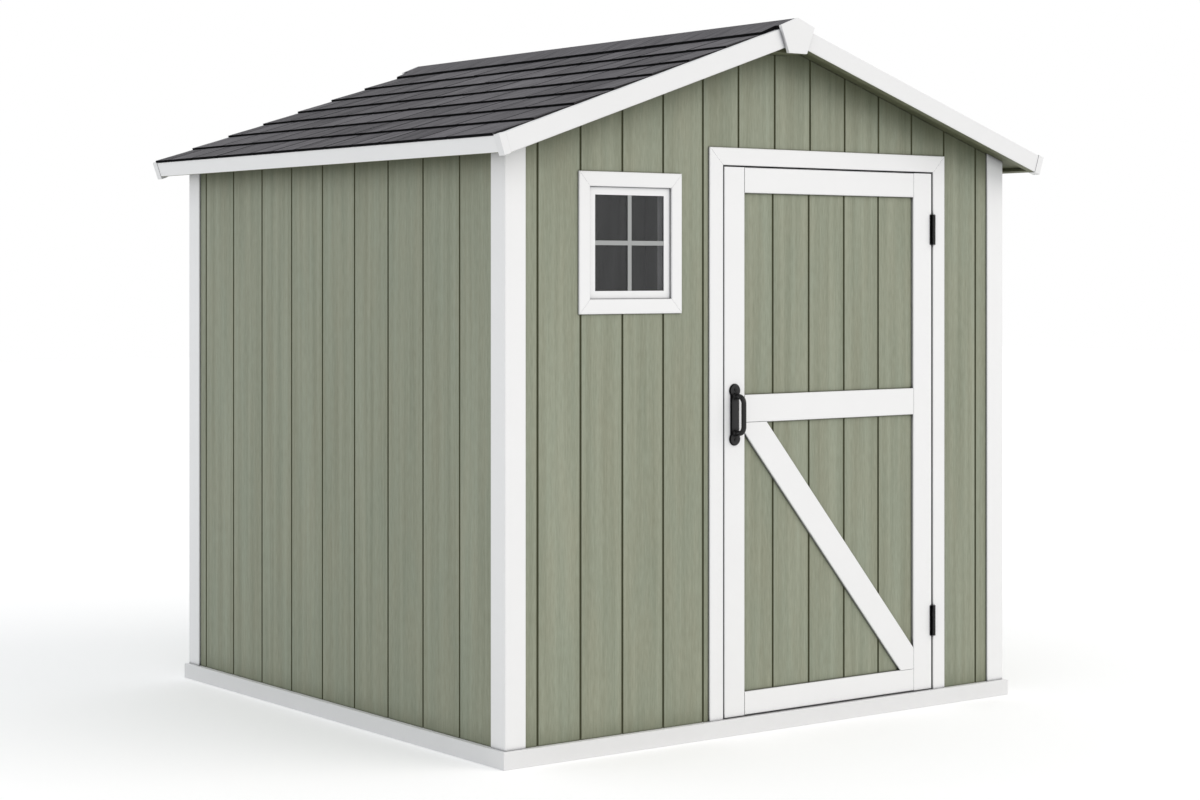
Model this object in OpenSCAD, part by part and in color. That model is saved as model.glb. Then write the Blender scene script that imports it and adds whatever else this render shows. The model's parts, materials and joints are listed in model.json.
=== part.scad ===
// Resin garden shed with a gable roof, one fixed window and one hinged door.
// Origin: centre of the footprint on the ground. +X right along the front, -Y out of the door, +Z up.

/* [Base] */
// Outer width of the base skirt, along the front
base_w = 2100; // [1800:10:2600]
// Outer depth of the base skirt, front to back
base_d = 2010; // [1500:10:3000]
// Height of the base skirt
base_h = 52; // [40:1:90]
// How far the skirt stands out past the corner trims
skirt_out = 12; // [6:1:20]
// Thickness of the floor panel
floor_t = 44; // [25:1:50]

/* [Walls] */
// Thickness of a wall panel
wall_t = 22; // [16:1:40]
// Width of a groove between two wall boards
groove_w = 8; // [4:1:14]
// Depth of a groove between two wall boards
groove_depth = 3.5; // [1.5:0.5:6]
// Spacing of the grooves beside the window
left_board_w = 157.4; // [120:0.1:180]
// Spacing of the grooves over and beside the door
right_board_w = 150.6; // [120:0.1:180]
// First groove beside the window, from the shed's middle
left_groove_x = -917; // [-925:1:-900]
// First groove over the door, from the shed's middle
right_groove_x = -143; // [-150:1:-130]
// Spacing of the grooves on the side walls
side_board_w = 202.4; // [150:0.1:230]
// Middle of the side walls' groove pattern, behind the shed's middle
side_groove_y = 66; // [0:1:80]

/* [Trims] */
// Width of a corner trim on each face
corner_w = 75; // [50:1:100]
// Thickness of the trims and casings in front of the wall
trim_t = 7; // [5:1:20]
// Size of the small chamfer on the edges of trims, casings and boards
edge_c = 2; // [1:0.5:3]
// Hairline between two mitred boards, measured along a board
mitre_gap = 0.6; // [0.2:0.1:1]

/* [Roof] */
// Rise of the roof for each unit across
roof_slope = 0.344; // [0.25:0.001:0.5]
// Height of the roof's top line at the eave's outer edge
eave_z = 1842; // [1750:1:2000]
// Overhang of the eaves past the skirt, left and right
eave_overhang = 78; // [60:1:150]
// Overhang of the barge boards past the skirt, front and back
gable_overhang = 90; // [60:1:150]
// Thickness of the roof from its underside to the top line
roof_t = 42; // [30:1:60]
// Number of shingle courses on each slope
course_count = 7; // [5:1:9]
// Thickness of a shingle course at its lower edge
shingle_t = 8; // [5:0.5:12]
// Height of a shingle course above the roof's top line where it comes out from under the next
course_head_t = 1.5; // [0.5:0.5:3]
// How far the last course runs past the fascia
drip = 3; // [0:0.5:6]
// How deep the shingle sheet is let in between the barge boards
let_in = 2; // [1:0.5:4]
// Gap between the roof's sloping faces and what carries them
seat_gap = 0.3; // [0.2:0.1:0.5]
// Half width of the ridge cap
ridge_cap_half_w = 118; // [90:1:150]
// Height of the ridge cap above the roof's top line
ridge_cap_t = 16; // [10:1:24]
// Thickness of the ridge cap's lower edges
ridge_edge_t = 9; // [6:1:14]
// Half width of the strip that the ridge cap runs over the barge boards
ridge_strip_half_w = 62; // [40:1:66]
// Thickness of a barge board
barge_t = 28; // [15:1:40]
// Depth of a barge board, square to the slope
barge_h = 60.5; // [55:0.5:80]
// Length of the moulded cap on a barge board's lower end
barge_cap_w = 22; // [15:1:35]
// How far that cap stands out past the board
barge_cap_out = 1.5; // [1:0.5:3]
// Thickness of an eave fascia
fascia_t = 18; // [12:1:25]
// Depth of an eave fascia's lower edge below the top line, square to the slope
fascia_h = 53.5; // [50:0.5:75]
// Half width of the ridge beam
beam_half_w = 60; // [40:1:80]
// Depth of the ridge beam below the roof panels' lower peak
beam_drop = 46; // [35:1:70]

/* [Gable cap] */
// Half width of a gable cap at its shoulders
cap_half_w = 70; // [55:1:90]
// Half width of a gable cap at its foot
cap_foot_half_w = 37; // [30:1:60]
// Height of a gable cap from foot to peak
cap_h = 112; // [95:1:130]
// How far a gable cap stands in front of the barge boards
cap_t = 12; // [6:1:18]
// Fall of a gable cap's top for each unit across
cap_fall = 0.4; // [0.34:0.01:0.6]
// How far a gable cap's peak stands above the ridge cap
cap_rise = 0.5; // [0.5:0.5:5]

/* [Window] */
// Middle of the window, across the front
window_x = -572; // [-640:1:-540]
// Height of the window casing's lower edge
window_z = 1323; // [1100:1:1330]
// Outer width of the window casing
window_w = 393; // [300:1:400]
// Outer height of the window casing
window_h = 429; // [300:1:430]
// Width of the window casing's upright boards
window_side_w = 40.5; // [30:0.5:50]
// Width of the window casing's level boards
window_level_w = 45; // [30:0.5:50]
// Width of the sash's frame members
sash_w = 24.5; // [18:0.5:35]
// How far the sash's face lies behind the wall's face
sash_set = 2; // [0:1:5]
// How far the sash stands into the room past the wall
sash_in = 12; // [6:1:16]
// Gap between the sash and the wall's cut edge
sash_gap = 1.5; // [0.5:0.5:3]
// Depth of that gap, from the sash's face
sash_gap_depth = 5; // [3:1:8]
// Thickness of the glass
glass_t = 4; // [3:1:6]
// How far the glass lies behind the sash's face
glass_set = 3; // [2:1:5]
// How far the glass sits in the sash's groove
glass_bite = 6; // [4:1:10]
// Play of the glass in that groove, over its whole width or height
glass_play = 0.4; // [0.2:0.1:1]

/* [Doorway] */
// Middle of the doorway, across the front
door_x = 247; // [150:1:260]
// Clear width between the door casings
doorway_w = 914; // [800:1:930]
// Height of the doorway's head
doorway_z = 1784; // [1650:1:1790]
// Width of a door casing on the wall
casing_w = 55; // [40:1:60]
// Thickness of the jamb that lines the wall's cut edge
jamb_t = 6; // [4:1:10]
// How far the door stop reaches into the doorway
stop_w = 13; // [10:1:20]
// Thickness of the door stop
stop_t = 12; // [8:1:16]

/* [Door] */
// Gap around the door leaf
door_gap = 5; // [5:0.5:8]
// Thickness of the door's frame
leaf_t = 36; // [30:1:40]
// How far the leaf's face sits behind the casing's face
leaf_inset = 2; // [1:0.5:4]
// Thickness of the grooved infill panel
infill_t = 18; // [12:1:20]
// How far the frame stands in front of the infill
frame_out = 10; // [6:1:12]
// How far the infill sits in the frame's groove
infill_bite = 12; // [8:1:20]
// Width of the door's stiles
stile_w = 84; // [60:1:100]
// Height of the top rail
top_rail_h = 80; // [60:1:100]
// Height of the bottom rail
bottom_rail_h = 73; // [60:1:100]
// Height of the lock rail
lock_rail_h = 87; // [60:1:100]
// Height of the lock rail's middle
lock_rail_z = 1020; // [900:1:1100]
// Width of the diagonal brace
brace_w = 91; // [60:1:110]
// How far in from the stile the brace's middle line starts
brace_head_in = 33; // [0:1:60]
// Spacing of the grooves on the infill
door_board_w = 153; // [120:1:180]
// Middle of the infill's groove pattern, from the doorway's middle
door_groove_x = -14; // [-20:1:20]

/* [Hinges] */
// Height of a hinge
hinge_h = 100; // [80:5:140]
// Middle of the upper hinge
upper_hinge_z = 1592; // [1500:1:1640]
// Middle of the lower hinge
lower_hinge_z = 284; // [200:1:340]
// Diameter of a hinge knuckle
knuckle_d = 11; // [9:0.5:13]
// Diameter of a hinge pin
pin_d = 5; // [4:0.5:6]
// Radial running clearance of a hinge pin
pin_fit = 0.05; // [0.02:0.01:0.1]
// Gap between two knuckles along the pin
knuckle_gap = 0.4; // [0.2:0.1:1]
// Thickness of a hinge plate
hinge_plate_t = 2.5; // [2:0.5:3]
// Reach of a hinge plate from the pin
hinge_plate_w = 11; // [9:1:30]
// How far a hinge plate reaches under its knuckles
plate_lap = 1; // [0.5:0.5:2]
// Room around a turning knuckle, on the radius
knuckle_room = 0.5; // [0.3:0.1:1]

/* [Handle] */
// Middle of the handle, inward from the leaf's free edge
handle_in = 41; // [25:1:55]
// Middle of the handle's height
handle_z = 1003; // [900:1:1100]
// Length of the handle's back plate
handle_plate_h = 193; // [160:1:220]
// Width of the handle's back plate at its round ends
handle_plate_w = 42; // [36:1:50]
// Width of the handle's back plate at its waist
handle_waist_w = 33; // [26:1:40]
// Thickness of the handle's back plate
handle_plate_t = 6; // [4:0.5:8]
// Width of the step around the plate's raised field
handle_step = 2; // [1:0.5:3]
// Height of the grip over its two posts
grip_h = 131; // [100:1:140]
// Diameter of the grip bar
grip_d = 16; // [10:1:20]
// Radius of the grip bar's bends, to the bar's middle
grip_bend_r = 22; // [16:1:30]
// How far a post spreads at its foot, on the radius
grip_foot = 3; // [1:0.5:5]
// Distance from the plate to the grip bar's middle
grip_out = 40; // [30:1:50]

/* [Hidden] */

SAGE = "#8f977e";
WHITE = "#ececea";
CHARCOAL = "#55555a";
BLACK = "#2a2a2c";
GLASS = "#8a9498";

// A cut runs this far past the face it leaves
over = 1;
// Longer than any piece, for clipping shapes
far = 6000;

// Walls, from the skirt inwards
trim_x = base_w/2 - skirt_out;
trim_y = base_d/2 - skirt_out;
wall_x = trim_x - trim_t;
wall_y = trim_y - trim_t;
room_x = wall_x - wall_t;
room_y = wall_y - wall_t;

// Roof
roof_half_w = base_w/2 + eave_overhang;
roof_angle = atan(roof_slope);
peak_z = eave_z + roof_slope*roof_half_w;
under_drop = roof_t/cos(roof_angle);
under_peak_z = peak_z - under_drop;
barge_y = base_d/2 + gable_overhang;
panel_y = barge_y - barge_t;
slope_len = roof_half_w/cos(roof_angle);
cap_slope_len = ridge_cap_half_w/cos(roof_angle);
shingled_len = slope_len + drip - cap_slope_len;
course_len = shingled_len/course_count;
ridge_top_z = peak_z + ridge_cap_t/cos(roof_angle);
cap_peak_z = ridge_top_z + cap_rise;
cap_shoulder_z = cap_peak_z - cap_fall*cap_half_w;

// Doorway and leaf
doorway_l = door_x - doorway_w/2;
doorway_r = door_x + doorway_w/2;
leaf_l = doorway_l + door_gap;
leaf_r = doorway_r - door_gap;
leaf_b = base_h + door_gap;
leaf_top = doorway_z - door_gap;
leaf_y = -trim_y + leaf_inset;
infill_y = leaf_y + frame_out;
stop_y = leaf_y + leaf_t + door_gap;
jamb_depth = stop_y + stop_t + trim_y;

// Hinges
hinge_x = doorway_r - door_gap/2;
hinge_y = -trim_y - knuckle_d/2 - knuckle_room;
knuckle_h = hinge_h/5;
hinge_list = [upper_hinge_z, lower_hinge_z];

// Height of what carries the roof panels, at a distance from the ridge
function under_z(x) = under_peak_z - seat_gap - roof_slope*abs(x);

// Height of the roof's top line at a distance from the ridge
function top_z(x) = peak_z - roof_slope*abs(x);

// Upright prism from an outline in the X-Z plane, from y0 back to y1
module upright(y0, y1) {
  translate([0, y1, 0])
    rotate([90, 0, 0])
    linear_extrude(y1 - y0)
    children();
}

// Outline of the space below the roof panels, between two distances across
module below_roof(x0, x1, z0) {
  intersection() {
    translate([x0, z0])
      square([x1 - x0, far]);
    polygon([[-far, under_z(far)], [0, under_z(0)], [far, under_z(far)], [far, -far], [-far, -far]]);
  }
}

// One groove, a channel with sloping sides cut into a face at y = 0 that looks towards -Y
module groove(z0, z1) {
  translate([0, 0, z0])
    linear_extrude(z1 - z0)
    polygon([[-groove_w/2, -over], [groove_w/2, -over], [groove_w/2, 0], [groove_w/4, groove_depth],
      [-groove_w/4, groove_depth], [-groove_w/2, 0]]);
}

// Positions of count grooves from a first one
function groove_row(first, spacing, count) = [for (i = [0:count - 1]) first + i*spacing];

left_groove_count = floor((right_groove_x - left_groove_x - over)/left_board_w);
right_groove_count = floor((trim_x - corner_w - right_groove_x)/right_board_w) + 1;
front_grooves = concat(groove_row(left_groove_x, left_board_w, left_groove_count + 1),
  groove_row(right_groove_x, right_board_w, right_groove_count));
side_half_count = floor((trim_y - corner_w + side_groove_y)/side_board_w);
side_grooves = [for (i = [-side_half_count:side_half_count])
  if (abs(side_groove_y + i*side_board_w) < trim_y - corner_w - groove_w) side_groove_y + i*side_board_w];

// A length of front wall with its grooves
module front_wall(x0, x1, z0) {
  difference() {
    upright(-wall_y, -room_y)
      below_roof(x0, x1, z0);
    for (x = front_grooves)
      if (x > x0 + groove_w && x < x1 - groove_w)
        translate([x, -wall_y, 0])
          groove(0, peak_z);
  }
}

module front_wall_left() {
  color(SAGE)
    difference() {
      front_wall(-wall_x, doorway_l - jamb_t, base_h);
      translate([window_x - sash_outer_w/2, -wall_y - over, window_z + window_level_w])
        cube([sash_outer_w, wall_t + 2*over, sash_outer_h]);
    }
}

module front_wall_right() {
  color(SAGE)
    front_wall(doorway_r + jamb_t, wall_x, base_h);
}

module front_wall_head() {
  color(SAGE)
    difference() {
      front_wall(doorway_l - jamb_t, doorway_r + jamb_t, doorway_z + jamb_t);
      beam_cut();
    }
}

module back_wall() {
  color(SAGE)
    difference() {
      rotate([0, 0, 180])
        front_wall_plain();
      beam_cut();
    }
}

// The back wall's grooves lie evenly about the middle
module front_wall_plain() {
  back_count = floor((trim_x - corner_w - groove_w)/right_board_w);
  difference() {
    upright(-wall_y, -room_y)
      below_roof(-wall_x, wall_x, base_h);
    for (i = [-back_count:back_count])
      translate([i*right_board_w, -wall_y, 0])
        groove(0, peak_z);
  }
}

// Left wall; the right one is its mirror image
module side_wall() {
  difference() {
    upright(-room_y, room_y)
      below_roof(-wall_x, -room_x, base_h);
    for (y = side_grooves)
      translate([-wall_x, y, 0])
        rotate([0, 0, -90])
        groove(0, peak_z);
  }
}

module left_wall() {
  color(SAGE)
    side_wall();
}

module right_wall() {
  color(SAGE)
    mirror([1, 0, 0])
    side_wall();
}

module floor_panel() {
  color(SAGE)
    translate([-room_x, -room_y, 0])
    cube([2*room_x, 2*room_y, floor_t]);
}

// Section of a board with its two front edges eased. Front face at y = 0, from x = 0 to x = w.
module board_section(w, t) {
  polygon([[edge_c, 0], [w - edge_c, 0], [w, edge_c], [w, t], [0, t], [0, edge_c]]);
}

// Upright board from z0 to z1, its front face at y = 0 and its left edge at x = 0
module upright_board(w, t, z0, z1) {
  translate([0, 0, z0])
    linear_extrude(z1 - z0)
    board_section(w, t);
}

// Level board from x0 to x1, its front face at y = 0 and its lower edge at z = 0
module level_board(x0, x1, h, t) {
  translate([x0, 0, 0])
    rotate([90, 0, 90])
    linear_extrude(x1 - x0)
    polygon([[0, edge_c], [edge_c, 0], [t, 0], [t, h], [edge_c, h], [0, h - edge_c]]);
}

// Section of a skirt rail, its outer upper edge eased. Outer face at x = 0, inwards is +X.
module rail_section(w) {
  polygon([[0, 0], [w, 0], [w, base_h], [edge_c, base_h], [0, base_h - edge_c]]);
}

// Front skirt rail, mitred into the side rails
module base_cross() {
  intersection() {
    translate([-base_w/2, -base_d/2, 0])
      rotate([90, 0, 90])
      linear_extrude(base_w)
      rail_section(base_d/2 - room_y);
    linear_extrude(base_h)
      polygon([[-base_w/2, -base_d/2], [base_w/2, -base_d/2], [room_x, -room_y], [-room_x, -room_y]]);
  }
}

// Left skirt rail, mitred into the cross rails
module base_side() {
  intersection() {
    translate([-base_w/2, base_d/2, 0])
      rotate([90, 0, 0])
      linear_extrude(base_d)
      rail_section(base_w/2 - room_x);
    linear_extrude(base_h)
      polygon([[-base_w/2, -base_d/2], [-room_x, -room_y], [-room_x, room_y], [-base_w/2, base_d/2]]);
  }
}

module base_front() {
  color(WHITE)
    base_cross();
}

module base_back() {
  color(WHITE)
    mirror([0, 1, 0])
    base_cross();
}

module base_left() {
  color(WHITE)
    base_side();
}

module base_right() {
  color(WHITE)
    mirror([1, 0, 0])
    base_side();
}

// Front left corner trim, an angle around the two walls, its head cut to the roof
module corner_trim() {
  intersection() {
    translate([-trim_x, -trim_y, base_h])
      linear_extrude(peak_z)
      polygon([[edge_c, 0], [corner_w - edge_c, 0], [corner_w, edge_c], [corner_w, trim_t],
        [trim_t, trim_t], [trim_t, corner_w], [edge_c, corner_w], [0, corner_w - edge_c], [0, edge_c]]);
    upright(-far, far)
      below_roof(-far, far, 0);
  }
}

module corner_front_left() {
  color(WHITE)
    corner_trim();
}

module corner_front_right() {
  color(WHITE)
    mirror([1, 0, 0])
    corner_trim();
}

module corner_back_left() {
  color(WHITE)
    mirror([0, 1, 0])
    corner_trim();
}

module corner_back_right() {
  color(WHITE)
    mirror([1, 0, 0])
    mirror([0, 1, 0])
    corner_trim();
}

// Frame of the left slope: X runs down the slope from the peak, Y is square to it and upwards.
// The mirror keeps +X down the slope on the left side.
module on_left_slope(y0, y1) {
  upright(y0, y1)
    translate([0, peak_z])
    rotate(180 + roof_angle)
    mirror([0, 1])
    children();
}

// The panel below the shingles, from the ridge to the back of the fascia
module roof_panel_left() {
  color(SAGE)
    on_left_slope(-panel_y, panel_y)
    polygon([[let_in*tan(roof_angle), -let_in], [slope_len - fascia_t, -let_in],
      [slope_len - fascia_t, -roof_t], [roof_t*tan(roof_angle), -roof_t]]);
}

module roof_panel_right() {
  color(SAGE)
    mirror([1, 0, 0])
    roof_panel_left();
}

// Overlapping courses: each is a wedge that ends in a thick lower edge, and the last covers the fascia
course_wedge = [for (i = [1:course_count], lower = [1, 0])
  [cap_slope_len + i*course_len, lower == 1 ? shingle_t : course_head_t]];
shingle_outline = concat(
  [[slope_len + drip, seat_gap], [slope_len - fascia_t - seat_gap, seat_gap],
    [slope_len - fascia_t - seat_gap, seat_gap - let_in], [cap_slope_len + let_in, seat_gap - let_in],
    [cap_slope_len + let_in, course_head_t]],
  [for (i = [0:2*course_count - 2]) course_wedge[i]]);

module shingles_left() {
  color(CHARCOAL)
    on_left_slope(-panel_y, panel_y)
    polygon(shingle_outline);
}

module shingles_right() {
  color(CHARCOAL)
    mirror([1, 0, 0])
    shingles_left();
}

// Folded outline out to a half width, from a height over the roof's top line up to given heights
module folded(half_w, foot, middle_z, edge_z) {
  polygon([[0, middle_z], [half_w, edge_z], [half_w, top_z(half_w) + foot],
    [0, peak_z + foot], [-half_w, top_z(half_w) + foot], [-half_w, edge_z]]);
}

// Folded cap that lies on the roof panels, and runs on over the barge boards as a narrower strip
module ridge_cap() {
  edge_z = top_z(ridge_cap_half_w) + ridge_edge_t/cos(roof_angle);
  color(CHARCOAL)
    difference() {
      upright(-barge_y, barge_y)
        folded(ridge_cap_half_w, seat_gap - let_in/cos(roof_angle), ridge_top_z, edge_z);
      for (end = [0, 1])
        mirror([0, end, 0])
        upright(-barge_y - over, -panel_y)
        difference() {
          translate([-far/2, 0])
            square([far, far]);
          folded(ridge_strip_half_w, seat_gap, 2*far, 2*far);
        }
    }
}

// Section of the ridge beam, flat below and folded under the two roof panels
module beam_outline() {
  polygon([[0, under_z(0)], [beam_half_w, under_z(beam_half_w)],
    [beam_half_w, under_peak_z - beam_drop], [-beam_half_w, under_peak_z - beam_drop],
    [-beam_half_w, under_z(beam_half_w)]]);
}

module ridge_beam() {
  color(SAGE)
    upright(-panel_y, panel_y)
    beam_outline();
}

// Room for the ridge beam through both gable walls
module beam_cut() {
  upright(-panel_y, panel_y)
    beam_outline();
}

module fascia_left() {
  inner = slope_len - fascia_t;
  color(WHITE)
    on_left_slope(-panel_y, panel_y)
    polygon([[inner, 0], [slope_len - edge_c, 0], [slope_len, -edge_c], [slope_len, -fascia_h + edge_c],
      [slope_len - edge_c, -fascia_h], [inner, -fascia_h]]);
}

module fascia_right() {
  color(WHITE)
    mirror([1, 0, 0])
    fascia_left();
}

// Runs a section down the left slope from s0 to s1, measured from the peak.
// In the section, +X is square to the slope and upwards, and +Y is the shed's own Y.
module down_slope(s0, s1) {
  translate([0, 0, peak_z])
    rotate([0, -90 - roof_angle, 0])
    translate([0, 0, s0])
    linear_extrude(s1 - s0)
    children();
}

// Section of a barge board with its two front edges eased, made larger all round by grow
module barge_section(grow) {
  face = -barge_y - grow;
  foot = -barge_h - grow;
  polygon([[grow, -panel_y], [grow, face + edge_c], [grow - edge_c, face], [foot + edge_c, face],
    [foot, face + edge_c], [foot, -panel_y]]);
}

// Left barge board at the front, cut upright at the peak, with a moulded cap on its lower end
module barge() {
  intersection() {
    down_slope(-over, slope_len - barge_cap_w)
      barge_section(0);
    translate([-far, -far, 0])
      cube([far, 2*far, far]);
  }
  down_slope(slope_len - barge_cap_w, slope_len + barge_cap_out)
    barge_section(barge_cap_out);
}

module barge_front_left() {
  color(WHITE)
    barge();
}

module barge_front_right() {
  color(WHITE)
    mirror([1, 0, 0])
    barge();
}

module barge_back_left() {
  color(WHITE)
    mirror([0, 1, 0])
    barge();
}

module barge_back_right() {
  color(WHITE)
    mirror([1, 0, 0])
    mirror([0, 1, 0])
    barge();
}

// Keystone plate over the joint of the barge boards and the end of the ridge cap
module gable_cap() {
  upright(-barge_y - cap_t, -barge_y)
    polygon([[0, cap_peak_z], [cap_half_w, cap_shoulder_z], [cap_foot_half_w, cap_peak_z - cap_h],
      [-cap_foot_half_w, cap_peak_z - cap_h], [-cap_half_w, cap_shoulder_z]]);
}

module gable_cap_front() {
  color(WHITE)
    gable_cap();
}

module gable_cap_back() {
  color(WHITE)
    mirror([0, 1, 0])
    gable_cap();
}

// Window, measured from its middle
sash_outer_w = window_w - 2*window_side_w;
sash_outer_h = window_h - 2*window_level_w;
sash_y = -wall_y + sash_set;

module at_window() {
  translate([window_x, 0, window_z + window_h/2])
    children();
}

// A rectangular frame in the X-Z plane, from y0 back to y1
module frame_ring(w, h, member, y0, y1) {
  upright(y0, y1)
    difference() {
      square([w, h], center=true);
      square([w - 2*member, h - 2*member], center=true);
    }
}

// The casing's four boards meet in mitres, each with eased edges
module window_casing() {
  color(WHITE)
    at_window()
    for (turn = [0, 180]) {
      rotate([0, turn, 0])
        window_board(window_w, window_h, window_level_w, window_side_w);
      rotate([0, turn + 90, 0])
        window_board(window_h, window_w, window_side_w, window_level_w);
    }
}

// Lower board of a mitred frame of size w by h, between boards of another width
module window_board(w, h, board_w, other_w) {
  end = w/2 - mitre_gap/2;
  intersection() {
    translate([0, -trim_y, -h/2])
      level_board(-w/2, w/2, board_w, trim_t);
    upright(-trim_y, -wall_y)
      polygon([[-end, -h/2], [end, -h/2], [end - other_w, board_w - h/2],
        [other_w - end, board_w - h/2]]);
  }
}

module glass_block(play) {
  w = sash_outer_w - 2*sash_w + 2*glass_bite + play;
  h = sash_outer_h - 2*sash_w + 2*glass_bite + play;
  translate([-w/2, sash_y + glass_set, -h/2])
    cube([w, glass_t, h]);
}

// The sash fills the wall's opening, and its front part stands clear of the wall's cut edge
module window_sash() {
  color(WHITE)
    at_window()
    difference() {
      union() {
        frame_ring(sash_outer_w, sash_outer_h, sash_w, sash_y + sash_gap_depth, -room_y + sash_in);
        frame_ring(sash_outer_w - 2*sash_gap, sash_outer_h - 2*sash_gap, sash_w - sash_gap,
          sash_y, sash_y + sash_gap_depth + over);
      }
      glass_block(glass_play);
    }
}

module window_glass() {
  color(GLASS, 0.5)
    at_window()
    glass_block(0);
}

// Left door casing: a board on the wall, mitred at its head, a lining on the wall's cut edge
// and a stop behind the leaf. The doorway's edge is at x = 0 and the casing's face at y = 0.
module door_casing_side() {
  translate([-doorway_w/2, -trim_y, 0]) {
    intersection() {
      translate([-casing_w, 0, 0])
        upright_board(casing_w, trim_t, base_h, doorway_z + casing_w);
      upright(0, trim_t)
        polygon([[-casing_w, 0], [0, 0], [0, doorway_z - mitre_gap],
          [-casing_w, doorway_z + casing_w - mitre_gap]]);
    }
    translate([0, 0, base_h])
      linear_extrude(doorway_z - base_h) {
        translate([-jamb_t, trim_t])
          square([jamb_t, jamb_depth - trim_t]);
        translate([-jamb_t, jamb_depth - stop_t])
          square([jamb_t + stop_w, stop_t]);
      }
  }
}

module door_casing_left() {
  color(WHITE)
    translate([door_x, 0, 0])
    door_casing_side();
}

module door_casing_right() {
  color(WHITE)
    translate([door_x, 0, 0])
    mirror([1, 0, 0])
    door_casing_side();
}

module door_casing_head() {
  color(WHITE)
    translate([door_x, -trim_y, doorway_z]) {
      intersection() {
        level_board(-doorway_w/2 - casing_w, doorway_w/2 + casing_w, casing_w, trim_t);
        upright(0, trim_t)
          polygon([[-doorway_w/2 - casing_w, casing_w], [doorway_w/2 + casing_w, casing_w],
            [doorway_w/2, 0], [-doorway_w/2, 0]]);
      }
      translate([-doorway_w/2 - jamb_t, trim_t, 0])
        cube([doorway_w + 2*jamb_t, jamb_depth - trim_t, jamb_t]);
      translate([-doorway_w/2 + stop_w, jamb_depth - stop_t, -stop_w])
        cube([doorway_w - 2*stop_w, stop_t, stop_w + over]);
    }
}

// Door leaf. The infill sits in a groove that runs round the frame.
leaf_w = leaf_r - leaf_l;
leaf_h = leaf_top - leaf_b;
infill_l = leaf_l + stile_w - infill_bite;
infill_w = leaf_w - 2*stile_w + 2*infill_bite;
infill_b = leaf_b + bottom_rail_h - infill_bite;
infill_h = leaf_h - top_rail_h - bottom_rail_h + 2*infill_bite;
infill_grooves = [for (i = [-1.5:1.5]) door_x + door_groove_x + i*door_board_w];
rail_l = leaf_l + stile_w;
rail_w = leaf_w - 2*stile_w;

module infill_block() {
  translate([infill_l, infill_y, infill_b])
    cube([infill_w, infill_t, infill_h]);
}

module door_infill() {
  color(SAGE)
    difference() {
      infill_block();
      for (x = infill_grooves)
        translate([x, infill_y, 0])
          groove(0, peak_z);
    }
}

module stile(x) {
  difference() {
    translate([x, leaf_y, 0])
      upright_board(stile_w, leaf_t, leaf_b, leaf_top);
    infill_block();
  }
}

module rail(z, h) {
  difference() {
    translate([0, leaf_y, z])
      level_board(rail_l, rail_l + rail_w, h, leaf_t);
    infill_block();
  }
}

module door_stile_left() {
  color(WHITE)
    stile(leaf_l);
}

module door_stile_right() {
  color(WHITE)
    stile(leaf_r - stile_w);
}

module door_top_rail() {
  color(WHITE)
    rail(leaf_top - top_rail_h, top_rail_h);
}

module door_bottom_rail() {
  color(WHITE)
    rail(leaf_b, bottom_rail_h);
}

module door_lock_rail() {
  color(WHITE)
    translate([0, leaf_y, lock_rail_z - lock_rail_h/2])
    level_board(rail_l, rail_l + rail_w, lock_rail_h, frame_out);
}

// The brace's middle line runs from under the lock rail down to the lower right corner of the infill
brace_top = lock_rail_z - lock_rail_h/2;
brace_foot = leaf_b + bottom_rail_h;
module door_brace() {
  run = rail_w - brace_head_in;
  brace_angle = atan((brace_top - brace_foot)/run);
  color(WHITE)
    intersection() {
      upright(leaf_y, infill_y)
        translate([rail_l, brace_foot])
        square([rail_w, brace_top - brace_foot]);
      translate([rail_l + brace_head_in + run/2, leaf_y, (brace_top + brace_foot)/2])
        rotate([0, brace_angle, 0])
        translate([0, 0, -brace_w/2])
        level_board(-leaf_h, leaf_h, brace_w, frame_out);
    }
}

// Knuckle number i of a hinge, counted from its foot; even ones belong to the frame side
module knuckle(i, z) {
  translate([hinge_x, hinge_y, z - hinge_h/2 + i*knuckle_h + knuckle_gap/2])
    cylinder(d=knuckle_d, h=knuckle_h - knuckle_gap, $fn=48);
}

// Web from a knuckle back to its plate, on the frame side (side = 1) or the door side (side = -1)
module knuckle_web(i, z, side, plate_y) {
  web = knuckle_d/2;
  translate([side > 0 ? hinge_x : hinge_x - web, hinge_y, z - hinge_h/2 + i*knuckle_h + knuckle_gap/2])
    cube([web, plate_y - hinge_y, knuckle_h - knuckle_gap]);
}

// Plate on the face, beside the knuckles
module hinge_plate(z, side, plate_y) {
  x0 = knuckle_d/2 - plate_lap;
  translate([side > 0 ? hinge_x + x0 : hinge_x - hinge_plate_w, plate_y - hinge_plate_t, z - hinge_h/2])
    cube([hinge_plate_w - x0, hinge_plate_t, hinge_h]);
}

// The frame side turns on nothing: its three knuckles hold the pin
module hinges_frame_side() {
  color(BLACK)
    for (z = hinge_list) {
      for (i = [0, 2, 4]) {
        knuckle(i, z);
        knuckle_web(i, z, 1, -trim_y);
      }
      translate([hinge_x, hinge_y, z - hinge_h/2 + knuckle_gap/2])
        cylinder(d=pin_d, h=hinge_h - knuckle_gap, $fn=48);
      difference() {
        hinge_plate(z, 1, -trim_y);
        for (i = [1, 3])
          knuckle_relief(i, z);
      }
    }
}

// Room around a turning knuckle
module knuckle_relief(i, z) {
  translate([hinge_x, hinge_y, z - hinge_h/2 + i*knuckle_h - knuckle_gap/2])
    cylinder(r=knuckle_d/2 + knuckle_room, h=knuckle_h + knuckle_gap, $fn=48);
}

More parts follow.
